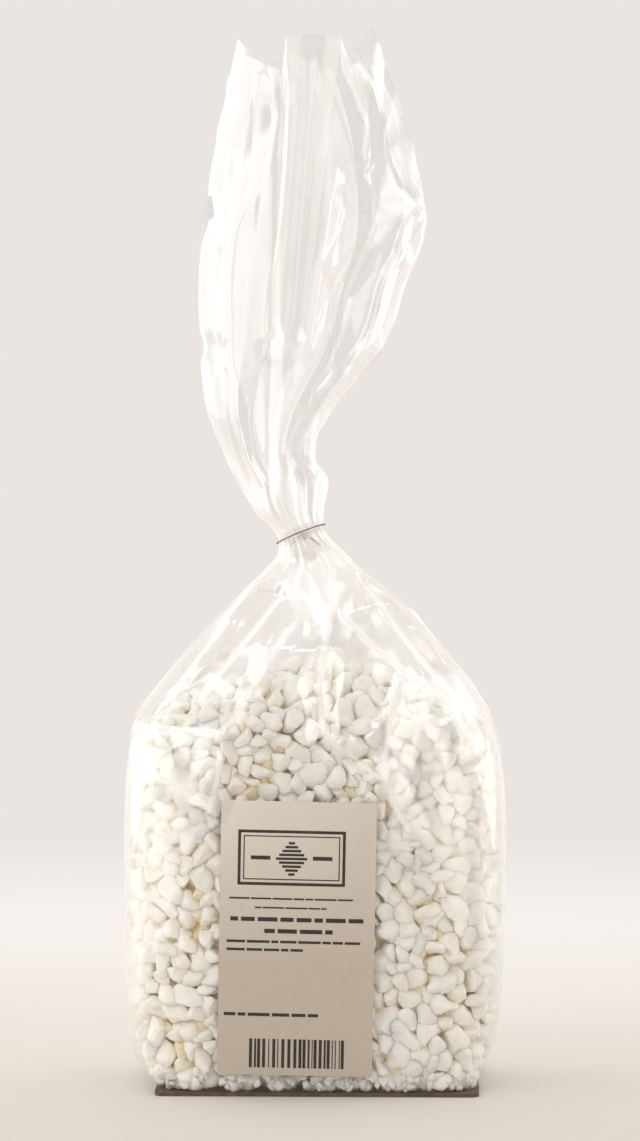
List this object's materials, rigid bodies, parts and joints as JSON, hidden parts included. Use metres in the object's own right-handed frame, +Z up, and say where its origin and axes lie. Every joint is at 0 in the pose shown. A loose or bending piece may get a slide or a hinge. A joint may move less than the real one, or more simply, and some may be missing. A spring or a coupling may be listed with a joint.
{
  "type": "bag of sugar",
  "caption": "Clear block-bottom film bag of white sugar nibs on a card base, its neck gathered by a wire tie below a flared open sleeve, with a paper label.",
  "frame": {"origin": "middle of the base card's underside, on the table", "axes": "+Z up, the label faces -Y, +X to the right as seen from the label's side"},
  "size_m": [0.1194, 0.0658, 0.3285],
  "materials": {
    "film": "clear, glossy, creased cellophane over white contents",
    "sugar": "matt white pressed sugar nibs, slightly translucent",
    "card": "matt, dark brown",
    "label_paper": "matt, off-white",
    "label_ink": "matt black print on paper",
    "tie_strip": "clear, thin plastic strip",
    "tie_wire": "dark thin wire"
  },
  "bodies": {
    "root": {"bag": "film", "base_card": "card", "label": "label_paper", "neck_tie": "tie_strip"}
  },
  "joints": []
}
